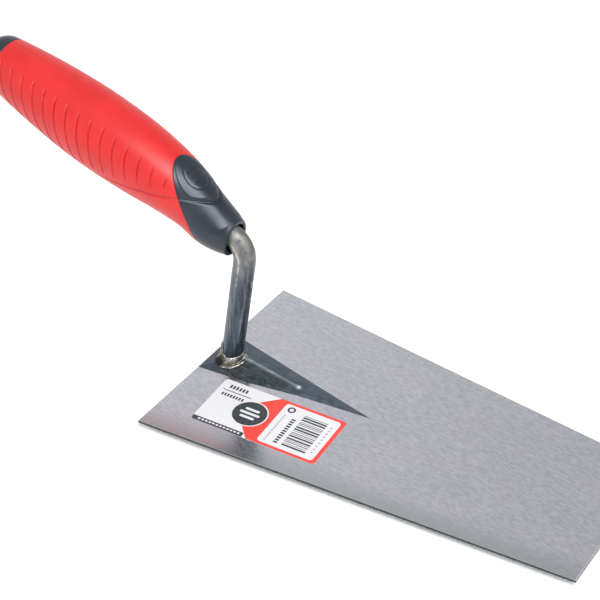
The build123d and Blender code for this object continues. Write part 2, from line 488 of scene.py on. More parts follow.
def weld_steel():
    """Molten bead: silvery rims, a brown heat-tinted valley and dark slag spots, with painted shade in the
    pocket behind the lip and on the lip's rims.
    """
    mat = new_material("weld_steel", Metallic=1.0)
    patches = grain(mat, 2.6, detail=3.0, distortion=0.5)
    spots = grain(mat, 1.6)
    rims = two_tone(mat, patches, (0.17, 0.18, 0.19), (0.60, 0.60, 0.58), middle=0.15)
    valley = two_tone(mat, patches, (0.07, 0.07, 0.055), (0.22, 0.20, 0.14), middle=0.15)
    hollow = shade_highlight_and_wear(mat)
    clean = blend_colors(mat, spread(mat, hollow, 0.0, 0.6), rims, valley)
    # Dark colour: slag spots, and painted shade where the mask marks the pocket.
    slag_and_shade = larger(mat, spread(mat, spots, 0.62, 0.70), spread(mat, hollow, 0.7, 0.95))
    color = blend_colors(mat, slag_and_shade, clean, (0.03, 0.035, 0.04))
    polish = between(mat, patches, 0.36, 0.2)
    roughness = larger(mat, polish, spread(mat, hollow, 0.6, 1.0, 0.2, 0.7))
    return finished(mat, color, roughness, patches, 0.08)


def core_plastic():
    """Hard blue-black plastic with a fine moulded texture, painted darker along the seam and in the pressed
    marks as shade.
    """
    mat = new_material("core_plastic", Specular_IOR_Level=0.64, Specular_Tint=(0.82, 0.88, 1.0, 1.0))
    clouds = grain(mat, 9.0, detail=3.0)
    base = two_tone(mat, clouds, (0.006, 0.010, 0.016), (0.011, 0.018, 0.026))
    # Near-black colour where the mask is: painted shade.
    color = blend_colors(mat, shade_highlight_and_wear(mat), base, (0.002, 0.004, 0.006))
    return finished(mat, color, between(mat, clouds, 0.29, 0.36), grain(mat, 0.28), 0.012)


def grip_rubber():
    """Soft red moulded grip, fine grained, painted a deeper red in its grooves and along the seam as shade.
    """
    mat = new_material("grip_rubber", Specular_IOR_Level=0.6)
    texture = grain(mat, 0.35)
    base = two_tone(mat, grain(mat, 14.0, detail=3.0), (0.57, 0.007, 0.008), (0.63, 0.011, 0.012))
    # Deeper red where the mask is: painted shade.
    color = blend_colors(mat, shade_highlight_and_wear(mat), base, (0.50, 0.000, 0.002))
    return finished(mat, color, between(mat, texture, 0.35, 0.41), texture, 0.02)


def printed_paper(name, first, second):
    """Glossy label stock in one ink, a little uneven."""
    mat = new_material(name, Coat_Weight=0.15, Coat_Roughness=0.2)
    fibres = grain(mat, 1.2, detail=4.0)
    return finished(mat, two_tone(mat, fibres, first, second), between(mat, fibres, 0.42, 0.5), fibres, 0.006)


def floor_paper():
    """Plain white studio sweep."""
    mat = new_material("floor_paper", Roughness=0.9, Specular_IOR_Level=0.1, Emission_Strength=0.045,
                       Emission_Color=(1.0, 1.0, 1.0, 1.0))
    color = blend_colors(mat, grain(mat, 200.0), (0.97, 0.97, 0.97), (0.985, 0.985, 0.985))
    shader_inputs(mat, {"Base Color": color})
    return mat


# ---------------- handle surface


def handle_table():
    """All handle sections from butt to mouth as rows of x, z, radius and tilt."""
    slope = tan(radians(grip_slope))
    front_x, front_z = grip_front
    grip = [(x, front_z + (front_x - x) * slope, radius, grip_slope) for x, radius in grip_radii]
    return np.array(grip + nose_sections)


def section_stations(table):
    """Distance of each section along the handle's middle line."""
    steps = np.hypot(np.diff(table[:, 0]), np.diff(table[:, 1]))
    return np.concatenate([[0.0], np.cumsum(steps)])


handle_rows = handle_table()
stations = section_stations(handle_rows)


def station_slopes():
    """Rates of change of the section values at each station."""
    steps = np.diff(stations)[:, None]
    rates = np.diff(handle_rows, axis=0) / steps
    inner = (rates[:-1] * steps[1:] + rates[1:] * steps[:-1]) / (steps[:-1] + steps[1:])
    return np.vstack([rates[:1], inner, rates[-1:]])


slopes = station_slopes()


def handle_section(station):
    """Smoothly interpolated x, z, radius and tilt at the given stations."""
    station = np.asarray(station, dtype=float)
    index = np.clip(np.searchsorted(stations, station, side="right") - 1, 0, len(stations) - 2)
    step = stations[index + 1] - stations[index]
    share = (station - stations[index]) / step
    share, step = share[..., None], step[..., None]
    value = (2 * share**3 - 3 * share**2 + 1) * handle_rows[index]
    value += (share**3 - 2 * share**2 + share) * step * slopes[index]
    value += (3 * share**2 - 2 * share**3) * handle_rows[index + 1]
    value += (share**3 - share**2) * step * slopes[index + 1]
    return np.moveaxis(value, -1, 0)


def handle_point(station, angle, inset=0.0):
    """Point on the handle; the angle runs from the right side (0) over the top (90 degrees)."""
    x, z, radius, tilt = handle_section(station)
    tilt = np.radians(tilt)
    reach = radius - inset
    lift = reach * np.sin(angle)
    return np.stack([x + np.sin(tilt) * lift, -reach * np.cos(angle), z + np.cos(tilt) * lift], axis=-1)


def arc_through(points):
    """Centre and radius of the circle through three points."""
    (ax, ay), (bx, by), (cx, cy) = points
    rows = np.array([[bx - ax, by - ay], [cx - ax, cy - ay]])
    sums = np.array([bx**2 + by**2 - ax**2 - ay**2, cx**2 + cy**2 - ax**2 - ay**2]) / 2
    centre = np.linalg.solve(rows, sums)
    return centre, hypot(ax - centre[0], ay - centre[1])


butt_z = grip_front[1] + (grip_front[0] - butt_x) * tan(radians(grip_slope))
arc_centre, arc_radius = arc_through(grip_front_arc)
arc_side = 1.0 if grip_front_arc[1][0] > arc_centre[0] else -1.0


def ahead_of_arc(points):
    """Positive in front of the line where grip and nose meet, negative behind it."""
    offset = np.hypot(points[..., 0] - arc_centre[0], points[..., 2] - arc_centre[1]) - arc_radius
    return arc_side * offset


def ahead_of_butt(points):
    """Positive in front of the butt plane, where the grip is, and negative behind it."""
    rise = radians(butt_rise)
    return (points[..., 0] - butt_x) * cos(rise) - (points[..., 2] - butt_z) * sin(rise)


def crossing(test, angle, inset=0.0):
    """Station at each angle where the test turns from negative to positive."""
    low = np.zeros_like(angle)
    high = np.full_like(angle, stations[-1])
    for _ in range(crossing_halvings):
        middle = (low + high) / 2
        ahead = test(handle_point(middle, angle, inset)) > 0
        high = np.where(ahead, middle, high)
        low = np.where(ahead, low, middle)
    return (low + high) / 2


angles = np.linspace(0.0, 2 * pi, around, endpoint=False)


def skin(start, end, rows, inset=0.0):
    """Rings of handle points between two sets of stations, with their stations and angles."""
    share = np.linspace(0.0, 1.0, rows)[:, None]
    station = start + (end - start) * share
    angle = np.broadcast_to(angles, station.shape)
    return handle_point(station, angle, inset), station, angle


def seam_line(x):
    """Height of the seam at a given x."""
    share = np.clip((x - seam_drop_x) / seam_drop_length, 0.0, 1.2)
    return seam_height - seam_drop * share**1.6


def seam_relief(points):
    """Depth of the seam and the slight step above it, and how much painted shade each point gets in it."""
    x = points[..., 0]
    above = points[..., 2] - seam_line(x)
    line = np.exp(-((above / seam_half_width) ** 2))
    proud = smooth_step(above, 0.0, 0.5) * np.exp(-np.clip(above, 0.0, None) / 5.0)
    return seam_step * proud - seam_depth * line, np.clip(1.5 * line, 0.0, 1.0)


def groove_lines():
    """Each groove in side view as (top, bottom) points, from front to rear."""
    lines = []
    for index in range(groove_count):
        x = groove_front_x - index * groove_pitch
        tilt = radians(groove_front_tilt + index * groove_tilt_step)
        station = np.interp(x, handle_rows[:, 0], stations)
        _, centre_z, radius, section_tilt = handle_section(station)
        top = np.interp(x, *zip(*groove_tops))
        low_angle = radians(groove_lowest_angle)
        lowest = centre_z + radius * sin(low_angle) * cos(radians(section_tilt))
        bottom = max(lowest, seam_height + groove_bottom_gap)
        lines.append(((x, top), (x + (top - bottom) * tan(tilt), bottom)))
    return lines


def groove_relief(points):
    """Depth of the grooves with the lip behind each, and how much painted shade each point gets in one."""
    x = points[..., 0]
    z = points[..., 2]
    depth = np.zeros_like(x)
    lip = np.zeros_like(x)
    for (top_x, top_z), (bottom_x, bottom_z) in groove_lines():
        length = top_z - bottom_z
        share = np.clip((top_z - z) / length, 0.0, 1.0)
        bow = groove_bow * 4.0 * share * (1.0 - share) * min(1.0, length / groove_full_length)
        hook = groove_hook * np.exp(-(top_z - z).clip(0.0) / groove_hook_length)
        line_x = top_x + (bottom_x - top_x) * share - bow + hook
        line_z = top_z - length * share
        distance = np.hypot(x - line_x, z - line_z)
        fade = groove_top_depth + (1.0 - groove_top_depth) * smooth_step(top_z - z, -0.3, groove_fade)
        depth = np.maximum(depth, fade * np.exp(-((distance / groove_half_width) ** 2)))
        behind = np.hypot(x - line_x + 2.2 * groove_half_width, z - line_z)
        lip = np.maximum(lip, fade * np.exp(-((behind / (1.2 * groove_half_width)) ** 2)))
    return groove_lip * lip - groove_depth * depth, np.clip(1.5 * depth, 0.0, 1.0)


def push_out(points, relief, station, angle):
    """Moves handle points outward by the relief, square to the handle's middle line."""
    tilt = np.radians(handle_section(station)[3])
    lift = np.sin(angle)
    direction = np.stack([np.sin(tilt) * lift, -np.cos(angle), np.cos(tilt) * lift], axis=-1)
    return points + direction * relief[..., None]


def edge_round(distance):
    """Drop of the surface at a distance from an edge, as a small rounded bevel."""
    short = joint_bevel - np.clip(distance, 0.0, joint_bevel)
    return np.sqrt(np.clip(joint_bevel**2 - short**2, 0.0, None)) - joint_bevel


# ---------------- pieces of the handle


def make_grip():
    """Red sleeve: grooved skin outside, plain bore inside, rounded off where it meets nose and cap."""
    back = crossing(ahead_of_butt, angles)
    front = crossing(ahead_of_arc, angles)
    outer, station, angle = skin(back, front, grip_rows)
    seam, seam_shade = seam_relief(outer)
    grooves, groove_shade = groove_relief(outer)
    from_ends = np.minimum(station - back, front - station)
    relief = seam + grooves + edge_round(from_ends) + parting_relief(angle)
    outer = push_out(outer, relief, station, angle)
    inner_back = crossing(ahead_of_butt, angles, sleeve_thickness)
    inner_front = crossing(ahead_of_arc, angles, sleeve_thickness)
    inner = skin(inner_front, inner_back, bore_rows, sleeve_thickness)[0]
    rings = np.concatenate([outer, inner])
    painted_shade = np.zeros(rings.shape[:2])
    # Painted shade: darker rubber in the grooves and along the seam.
    painted_shade[:grip_rows] = np.clip(0.8 * groove_shade + 0.8 * seam_shade, 0.0, 1.0)
    faces = quads_between(len(rings), around, closed=True)
    piece = make_piece("grip_skin", rings.reshape(-1, 3), faces, [grip_rubber()], mask=painted_shade.reshape(-1),
                       crease=60)
    finish_piece(piece, "grip_sleeve")


def parting_relief(angle):
    """A fine mould parting line along the top and the underside."""
    from_top = np.abs(np.abs(np.degrees(angle) - 180.0) - 90.0)
    return -parting_depth * np.exp(-((from_top / parting_half_width) ** 2))


def pad_relief(points):
    """The thumb pad's flattened boss and the ring and bars pressed into it."""
    x = points[..., 0] - pad_x
    y = points[..., 1]
    spread_out = np.hypot(x / pad_half_length, y / pad_half_width)
    above = smooth_step(points[..., 2] - seam_line(points[..., 0]), 0.4, 1.0)
    inside = (1.0 - smooth_step(spread_out, 0.955, 1.0)) * above
    boss = inside * (pad_rise - pad_flat * np.clip(1.0 - spread_out**2, 0.0, 1.0))
    radius = np.hypot(x, y)
    mark = np.exp(-((radius - ring_radius) / mark_width) ** 4)
    for offset in (-bar_spacing, 0.0, bar_spacing):
        beyond = np.clip(np.abs(y) - bar_half_length + mark_width, 0.0, None)
        mark = np.maximum(mark, np.exp(-(np.hypot(x - offset, beyond) / mark_width) ** 4))
    mark *= inside
    return boss - mark_depth * mark, mark


def turned_rings(centre, tilt, profile):
    """Circles of (radius, distance ahead of the centre) round an axis that dips forward by the tilt."""
    forward = np.array([cos(tilt), 0.0, -sin(tilt)])
    upward = np.array([sin(tilt), 0.0, cos(tilt)])
    circle = np.sin(angles)[:, None] * upward + np.cos(angles)[:, None] * np.array([0.0, -1.0, 0.0])
    return [centre + forward * ahead + circle * radius for radius, ahead in profile]


def mouth_rings(skin_edge):
    """Rings over the rounded lip, down the wall of the mouth and across its bottom."""
    x, z, _, tilt = handle_rows[-1]
    rings = []
    for turn in np.linspace(0.0, pi, 13)[1:]:
        radius = mouth_radius + (skin_edge - mouth_radius) * (1 + cos(turn)) / 2
        rings.append((radius, -mouth_lip + mouth_lip * sin(turn)))
    rings += [(mouth_radius, -depth) for depth in np.linspace(mouth_lip, mouth_depth, 12)[1:]]
    rings += [(mouth_radius * share, -mouth_depth) for share in (0.93, 0.8)]
    return turned_rings((x, 0.0, z), radians(tilt), rings)


def make_nose():
    """Dark nose in front of the grip, with its mouth, and the hidden core that fills the grip."""
    core_inset = sleeve_thickness + core_gap
    back = crossing(ahead_of_butt, angles, core_inset)
    boundary_inner = crossing(ahead_of_arc, angles, core_inset)
    boundary = crossing(ahead_of_arc, angles)
    end = np.full_like(angles, stations[-1] - mouth_lip)
    hidden = skin(back, boundary_inner, core_rows, core_inset)[0]
    outer, station, angle = skin(boundary, end, nose_rows)
    seam, seam_shade = seam_relief(outer)
    pad, mark = pad_relief(outer)
    clear_of_mouth = 1.0 - smooth_step(station, stations[-1] - 4.0, stations[-1] - 2.0)
    relief = (seam + pad + parting_relief(angle) * 0.5) * clear_of_mouth + edge_round(station - boundary)
    outer = push_out(outer, relief, station, angle)
    mouth = mouth_rings(float(handle_section(stations[-1] - mouth_lip)[2]))
    rings = np.concatenate([hidden, outer, np.array(mouth)])
    points, faces = capped(rings)
    painted_shade = np.zeros(len(points))
    first = len(hidden) * around
    # Painted shade: darker plastic along the seam and in the pressed marks.
    shown = np.clip(0.8 * seam_shade * clear_of_mouth + 0.3 * mark, 0.0, 1.0).reshape(-1)
    painted_shade[first:first + len(shown)] = shown
    piece = make_piece("nose_shell", points, faces, [plastic], mask=painted_shade, crease=60)
    finish_piece(piece, "handle_core")


def cap_profile():
    """The cap's outline from the spigot's end to the middle of its crown, as (radius, distance)."""
    profile = [(cap_spigot_radius - 0.6, -cap_spigot_length), (cap_spigot_radius, -cap_spigot_length + 0.6)]
    profile += [(cap_spigot_radius, 0.0), (cap_radius - 0.3, 0.0)]
    profile += [(cap_radius - 0.09, 0.09), (cap_radius, 0.3)]
    profile += [(cap_radius, height) for height in np.linspace(0.8, cap_length - cap_corner, 12)]
    for turn in np.radians(np.linspace(0.0, 90.0, 28))[1:]:
        radius = cap_radius - cap_corner + cap_corner * cos(turn)
        profile.append((radius, cap_length - cap_corner + cap_corner * sin(turn) * 0.97))
    for radius in (4.0, 3.0, 2.0, 1.0, 0.3):
        profile.append((radius, cap_length - 0.24 + 0.2 * (1 - (radius / 5.0) ** 2)))
    return profile


def make_cap():
    """Rounded dark cap that closes the butt."""
    profile = [(radius, -distance) for radius, distance in cap_profile()]
    points, faces = capped(turned_rings((butt_x, 0.0, butt_z), radians(butt_rise), profile))
    piece = make_piece("end_cap", points, faces, [plastic], mask=np.zeros(len(points)), crease=50)
    finish_piece(piece, "butt_cap")


# ---------------- shank and weld


def shank_centreline(step):
    """Points and tangents along the shank from its foot to the tang's end, about a step apart."""
    lean = radians(shank_lean)
    rise = radians(tang_rise)
    up = np.array([sin(lean), 0.0, cos(lean)])
    back = np.array([-cos(rise), 0.0, sin(rise)])
    bend_start = up * shank_bend_start / cos(lean)
    centre = bend_start + np.array([-up[2], 0.0, up[0]]) * shank_bend_radius
    foot = up * shank_foot_height / cos(lean)
    straight = np.linalg.norm(bend_start - foot)
    places = [(foot + up * s, up) for s in np.arange(0.0, straight, step)]
    turn = radians(90.0 + shank_lean - tang_rise)
    for angle in np.linspace(0.0, turn, int(turn * shank_bend_radius / step) + 2):
        heading = lean - angle
        tangent = np.array([sin(heading), 0.0, cos(heading)])
        places.append((centre + np.array([tangent[2], 0.0, -tangent[0]]) * shank_bend_radius, tangent))
    tang_start = places[-1][0]
    places += [(tang_start + back * s, back) for s in np.arange(step, tang_length - tang_point, step)]
    return places


def shank_scuffs_and_highlight(points, turn):
    """Where the bar is painted bright: one broken streak over the bend that is a painted highlight, and
    scuffed flecks on the toe side.
    """
    height = points[:, 2]
    broken = smooth_step(wobble(points * (0.3, 0.3, 1.0), 2.6, 8), -0.2, 0.12)
    from_streak = turn_between(turn, highlight_streak_turn)
    faded = 0.4 * smooth_step(height, 44.0, 50.0) + 0.6 * smooth_step(height, 54.0, 60.0)
    streak = np.exp(-((from_streak / highlight_streak_spread) ** 2)) * faded * broken
    flecks = smooth_step(wobble(points, 1.8, 9), 0.22, 0.34) * smooth_step(height, 34.0, 38.0)
    on_toe_side = np.exp(-(((turn - fleck_turn) / 14.0) ** 2)) * (height < 50.0)
    return np.clip(streak + flecks * on_toe_side, 0.0, 1.0)


def make_shank():
    """Slightly uneven round bar with a pointed tang."""
    turns = np.linspace(0.0, 2 * pi, shank_around, endpoint=False)
    rings = []
    places = shank_centreline(shank_step)
    for centre, tangent in places:
        side = np.array([tangent[2], 0.0, -tangent[0]])
        circle = np.cos(turns)[:, None] * side + np.sin(turns)[:, None] * np.array([0.0, 1.0, 0.0])
        rings.append(centre + circle * shank_radius)
    rings = np.array(rings)
    flat = rings.reshape(-1, 3)
    uneven = 0.05 * wobble(flat, 5.0, 1) + 0.035 * wobble(flat * (1.0, 1.0, 0.2), 1.6, 2) - 0.05
    centres = np.repeat(np.array([place[0] for place in places]), shank_around, axis=0)
    flat = centres + (flat - centres) * (1.0 + uneven / shank_radius)[:, None]
    rings = flat.reshape(rings.shape)
    end, tangent = places[-1]
    tip = [end + tangent * tang_point * share + (rings[-1] - end) * (1 - 0.6 * share) for share in (0.5, 1.0)]
    points, faces = capped(np.concatenate([rings, np.array(tip)]))
    scuffs_and_highlight = np.zeros(len(points))
    scuffs_and_highlight[:len(flat)] = shank_scuffs_and_highlight(flat, np.tile(np.degrees(turns), len(places)))
    piece = make_piece("shank_bar", points, faces, [forged_shank_steel()], mask=scuffs_and_highlight, crease=50)
    finish_piece(piece, "shank")


def turn_between(turn, middle):
    """Difference between two turns in degrees, from -180 to 180."""
    return (turn - middle + 180.0) % 360.0 - 180.0


def weld_section(turn):
    """Closed section of the weld at a turn round the foot, as (radius, height, hollow mask) corners.

    It is a hollow fillet under a rim that hugs the shank. Towards the toe's right side its outer edge swells
    into a lip, with a valley inside it, and behind that lip it sinks into a pocket painted dark as shade. The
    lip's rims beside its crown are painted darker as shade.
    """
    reach = weld_reach + weld_reach_swing * cos(radians(turn - weld_reach_turn))
    rise = weld_rise + weld_climb * exp(-((turn_between(turn, weld_climb_turn) / weld_climb_spread) ** 2))
    lip = exp(-((turn_between(turn, weld_lip_turn) / weld_lip_spread) ** 4))
    pocket = exp(-((turn_between(turn, weld_pocket_turn) / weld_pocket_spread) ** 4))
    crown = lip * exp(-((turn_between(turn, weld_crown_turn) / weld_crown_spread) ** 2))
    # Mask: heat tint in the lip's valley, and painted shade in the pocket.
    valley = max(0.6 * lip, pocket)
    # Painted shade on the lip's rims beside the crown and in the pocket.
    rim_shade = max(0.35 * (lip - crown), pocket - crown)
    sink = 1.0 - 0.6 * pocket
    inside = shank_radius - 0.8
    inner = [(inside, 0.0, 0.0), (inside, rise + 0.5, 0.0), (shank_radius + 0.1, rise + 0.9, 0.0)]
    outer = [
        (0.2, rise + 0.3, 0.4 * pocket),
        (0.34, (1.7 - 0.5 * lip) * sink, valley),
        (0.48, (1.1 - 0.6 * lip) * sink, valley),
        (0.64, (0.8 - 0.3 * lip) * sink, valley),
        (0.76, 0.6 * sink + 0.7 * lip + 0.5 * crown, rim_shade),
        (0.9, 0.4 * sink + 0.9 * lip + 0.6 * crown, rim_shade),
        (1.0, 0.2 + 0.6 * lip + 0.4 * crown, rim_shade),
    ]
    outer = [(shank_radius + share * (reach - shank_radius), height, mask) for share, height, mask in outer]
    return inner + outer + [(reach + 0.1, 0.0, 0.6)]


def rounded(corners, passes=3):
    """Closed outline with its corners cut off, again and again, until it is smooth."""
    points = np.array(corners)
    for _ in range(passes):
        after = np.roll(points, -1, axis=0)
        cut = np.stack([0.75 * points + 0.25 * after, 0.25 * points + 0.75 * after], axis=1)
        points = cut.reshape(-1, points.shape[1])
    return points


def make_weld():
    """Uneven molten collar that fills the corner between the shank and the spine."""
    rings = []
    # Mask per point: heat tint in the valley, painted shade on the rims and in the pocket.
    valley = []
    for turn in np.linspace(0.0, 2 * pi, weld_around, endpoint=False):
        radius, height, mask = rounded(weld_section(degrees(turn))).T
        height = height + blade_thickness - 0.1
        centre_x = height * tan(radians(shank_lean))
        rings.append(np.column_stack([centre_x + radius * cos(turn), radius * sin(turn), height]))
        valley.append(mask)
    rings = np.array(rings)
    flat = rings.reshape(-1, 3)
    flat[:, 2] += spine_height(flat[:, :2])
    outward = flat - (1.0, 0.0, 1.0)
    outward /= np.linalg.norm(outward, axis=1)[:, None]
    lumps = 0.3 * wobble(flat, 2.8, 3) + 0.1 * wobble(flat, 1.1, 4)
    flat = flat + outward * lumps[:, None]
    flat[:, 2] = np.maximum(flat[:, 2], blade_thickness - 0.2)
    faces = quads_between(weld_around, rings.shape[1], closed=True)
    valley = np.array(valley).reshape(-1)
    piece = make_piece("weld_collar", flat, faces, [weld_steel()], mask=valley, crease=70)
    finish_piece(piece, "weld_bead")


# ---------------- blade

# Face steels: ground, forged, edge faces painted dark as shade, toe bevel painted bright as a highlight.
ground, forged, shaded_edge, lit_bevel = range(4)


def plan(distance, y):
    """Plan position at a distance forward of the heel edge."""
    return np.array([heel_x + distance, y])


def spine_outline():
    """Corners of the spine in plan, from the heel's right side round the tip, starting inside the bevel."""
    corners = spine_right_side + [spine_tip] + spine_left_side[::-1]
    return [plan(max(distance, side_bevel), y) for distance, y in corners]


def spine_height(points):
    """Height of the spine above the plate at plan positions: a crest that falls off to both sides.

    The heel facet is a plane that cuts the crest off; towards the tip the ridge turns to a low arch.
    """
    along = points[:, 0] - heel_x
    crest_along, crest_y, crest_height = np.array(spine_crest).T
    right_along, right_y = np.array(spine_right_side + [spine_tip]).T
    left_along, left_y = np.array([*spine_left_side, spine_tip]).T
    middle = np.interp(along, crest_along, crest_y)
    height = np.interp(along, crest_along, crest_height)
    right = middle - np.interp(along, right_along, right_y)
    left = np.interp(along, left_along, left_y) - middle
    offset = points[:, 1] - middle
    reach = np.where(offset > 0.0, left, right)
    share = np.clip(np.abs(offset) / np.maximum(reach, 1e-3), 0.0, 1.0)
    sharpness = np.interp(along, [38.0, 50.0], [1.0, 2.4])
    height = np.minimum(height * (1.0 - share**sharpness), along * heel_facet_slope)
    inside = (along > 0.0) & (along < spine_tip[0]) & (share < 1.0 - 1e-6)
    return np.where(inside, height, 0.0)


ridge_start, ridge_end = [plan(*corner[:2]) for corner in spine_crest[1:3]]
ridge = ridge_end - ridge_start


def ridge_distance(points):
    """Distance in plan from the raised bead along the crest."""
    share = np.clip((points - ridge_start) @ ridge / (ridge @ ridge), 0.0, 1.0)
    return np.linalg.norm(points - ridge_start - share[:, None] * ridge, axis=1)


def side_points(start, end, count, extra=()):
    """Points from start up to but not including end, evenly spaced, plus extra ones by share."""
    shares = sorted(set(np.linspace(0.0, 1.0, count, endpoint=False)) | set(extra))
    return [start + (end - start) * share for share in shares]


def blade_corners(side_inset, toe_inset):
    """Corners of the plate's outline, moved in from its sides and from its toe."""
    across = side_inset * hypot(1.0, side_slope)
    heel = heel_x + side_inset
    toe = toe_x - toe_inset
    heel_half = heel_width / 2 - side_slope * side_inset - across
    toe_half = toe_width / 2 + side_slope * toe_inset - across
    return [np.array(c) for c in ((heel, -heel_half), (toe, -toe_half), (toe, toe_half), (heel, heel_half))]


def blade_ring(side_inset, toe_inset, height, toe_height):
    """Points round the plate at one level of its edge; the toe may lie lower than the sides."""
    corners = blade_corners(side_inset, toe_inset)
    heel_shares = [(corners[3][1] - y) / (corners[3][1] - corners[0][1])
                   for y in (spine_left_side[0][1], spine_right_side[0][1])]
    ring = []
    for index, start in enumerate(corners):
        end = corners[(index + 1) % 4]
        extra = heel_shares if index == 3 else ()
        for point in side_points(start, end, edge_points[index], extra):
            at_toe = point[0] > toe_x - toe_inset - 0.01
            ring.append((*point, toe_height if at_toe else height))
    return ring


def spine_lines():
    """Lines that the blade's top keeps as edges: the spine's outline, its crest and its heel facet."""
    outline = spine_outline()
    crest_along, crest_y, _ = np.array(spine_crest).T
    crest = [ridge_start, ridge_end]
    crest += [plan(along, np.interp(along, crest_along, crest_y))
              for along in np.arange(crest_along[2] + 1.0, spine_tip[0], 1.0)]
    lines = list(zip(outline, outline[1:])) + list(zip(crest, crest[1:]))
    return lines + [(outline[0], crest[0]), (outline[-1], crest[0])]


def fill_points():
    """Loose points inside the blade's top: fine on the spine and along its ridge, coarse elsewhere."""
    fine = 0.8
    coarse = 6.0
    xs, ys = np.meshgrid(np.arange(heel_x + fine, heel_x + spine_tip[0], fine), np.arange(-13.0, 16.0, fine))
    spine_grid = np.column_stack([xs.ravel(), ys.ravel()])
    spine_grid = spine_grid[spine_height(spine_grid) > 0.02]
    square = np.array([-ridge[1], ridge[0]]) / np.linalg.norm(ridge)
    band = [ridge_start + ridge * share + square * offset
            for share in np.linspace(0.0, 1.03, 90) for offset in (-1.1, -0.7, -0.35, 0.35, 0.7, 1.1)]
    xs, ys = np.meshgrid(np.arange(heel_x + 4.0, toe_x - 3.0, coarse), np.arange(-52.0, 53.0, coarse))
    plate_grid = np.column_stack([xs.ravel(), ys.ravel()])
    room = heel_width / 2 - side_slope * (plate_grid[:, 0] - heel_x) - np.abs(plate_grid[:, 1])
    plate_grid = plate_grid[(room > 3.0) & (spine_height(plate_grid) == 0.0)]
    return np.vstack([spine_grid, np.array(band), plate_grid])


def triangulate(ring, lines, loose):
    """Points, triangles and their middles for a flat region inside a ring, with extra lines and points."""
    points = [Vector(point[:2]) for point in ring]
    edges = [(i, (i + 1) % len(ring)) for i in range(len(ring))]
    for start, end in lines:
        edges.append((len(points), len(points) + 1))
        points += [Vector(start), Vector(end)]
    points += [Vector(point) for point in loose]
    flat, _, triangles, *_ = geometry.delaunay_2d_cdt(points, edges, [], 1, 1e-4)
    flat = np.array([tuple(point) for point in flat])
    middles = np.array([flat[list(t)].mean(axis=0) for t in triangles])
    return flat, [tuple(t) for t in triangles], middles


def blade_rings():
    """The plate's outline at each level of its edge, from the underside to the top."""
    top = blade_thickness
    return [
        blade_ring(side_bevel, side_bevel, 0.0, 0.0),
        blade_ring(0.0, 0.0, side_bevel, side_bevel),
        blade_ring(0.0, 0.0, top - side_bevel, top - toe_bevel_drop),
        blade_ring(side_bevel, toe_bevel, top, top),
    ]


def forged_relief(flat):
    """Height of the blade's top with its dents and its ridge, and how bright the ridge is painted: rubbing
    with a painted highlight along the crest and at its end.
    """
    height = spine_height(flat)
    on_spine = smooth_step(height, 0.0, 0.5)
    dented = smooth_step(height, 0.1, 1.4)
    solid = np.column_stack([flat, np.zeros(len(flat))])
    height += dented * forging_dents * wobble(solid, 4.5, 5)
    height += dented * 0.4 * forging_dents * wobble(solid, 1.7, 6)
    bead = np.exp(-((ridge_distance(flat) / ridge_bead_width) ** 2))
    bead_end = np.exp(-((np.linalg.norm(flat - ridge_end, axis=1) / ridge_end_radius) ** 2))
    height += on_spine * (ridge_bead_height * bead + ridge_bead_end * bead_end)
    height[flat[:, 0] < heel_x + side_bevel + 0.01] = 0.0
    # Painted highlight along the crest bead and a bright painted spot at its end, broken up like rubbing.
    wear_and_highlight = bead * (0.45 + 0.45 * wobble(solid, 3.0, 7)) + 1.6 * bead_end
    return np.clip(height, 0.0, None), np.clip(wear_and_highlight, 0.0, 1.0)


def blade_face_steels(top_ring, middles):
    """Steel of each face: two bands of the edge, the top bevel, the underside and the top's triangles."""
    x = np.array(top_ring)[:, 0]
    at_toe = np.minimum(x, np.roll(x, -1)) > toe_x - toe_bevel - 0.01
    # The edge faces get the steel painted dark as their shade.
    edge = np.full(2 * len(top_ring), shaded_edge)
    # The toe's bevel gets the steel painted bright as its highlight.
    bevel = np.where(at_toe, lit_bevel, ground)
    top = np.where(spine_height(middles) > 0.0, forged, ground)
    return np.concatenate([edge, bevel, [ground], top])


def make_blade():
    """Flat plate with fine bevels and the forged spine raised out of its top."""
    rings = blade_rings()
    columns = len(rings[0])
    points = [point for ring in rings for point in ring]
    first = len(points)
    flat, triangles, middles = triangulate(rings[-1], spine_lines(), fill_points())
    height, wear_and_highlight = forged_relief(flat)
    points += [(x, y, blade_thickness + rise) for (x, y), rise in zip(flat, height)]
    faces = quads_between(len(rings), columns)
    faces.append(tuple(range(columns)))
    faces += [tuple(first + corner for corner in triangle) for triangle in triangles]
    steels = [ground_steel(), forged_spine_steel(), sheared_and_shaded_edge_steel(), honed_bevel_highlight_steel()]
    piece = make_piece("blade_plate", points, faces, steels, mask=np.concatenate([np.zeros(first), wear_and_highlight]),
                       face_material=blade_face_steels(rings[-1], middles), crease=25)
    finish_piece(piece, "blade")


# ---------------- label

label_length = 61.3
label_width = 30.4
label_turn = 3.8
label_corner = 1.5
disc_u = 21.2

white_ink, red_ink, dark_ink, grey_ink = range(4)


def box_outline(u0, v0, u1, v1, corner=0.0):
    """Rectangle on the label, with rounded corners if a corner radius is given."""
    if corner == 0.0:
        return [(u0, v0), (u1, v0), (u1, v1), (u0, v1)]
    outline = []
    centres = [(u1 - corner, v0 + corner, -90), (u1 - corner, v1 - corner, 0),
               (u0 + corner, v1 - corner, 90), (u0 + corner, v0 + corner, 180)]
    for cu, cv, start in centres:
        for step in range(7):
            turn = radians(start + 15 * step)
            outline.append((cu + corner * cos(turn), cv + corner * sin(turn)))
    return outline


def disc_outline(cu, cv, radius, sides=48):
    """Circle on the label."""
    turns = [2 * pi * index / sides for index in range(sides)]
    return [(cu + radius * cos(turn), cv + radius * sin(turn)) for turn in turns]


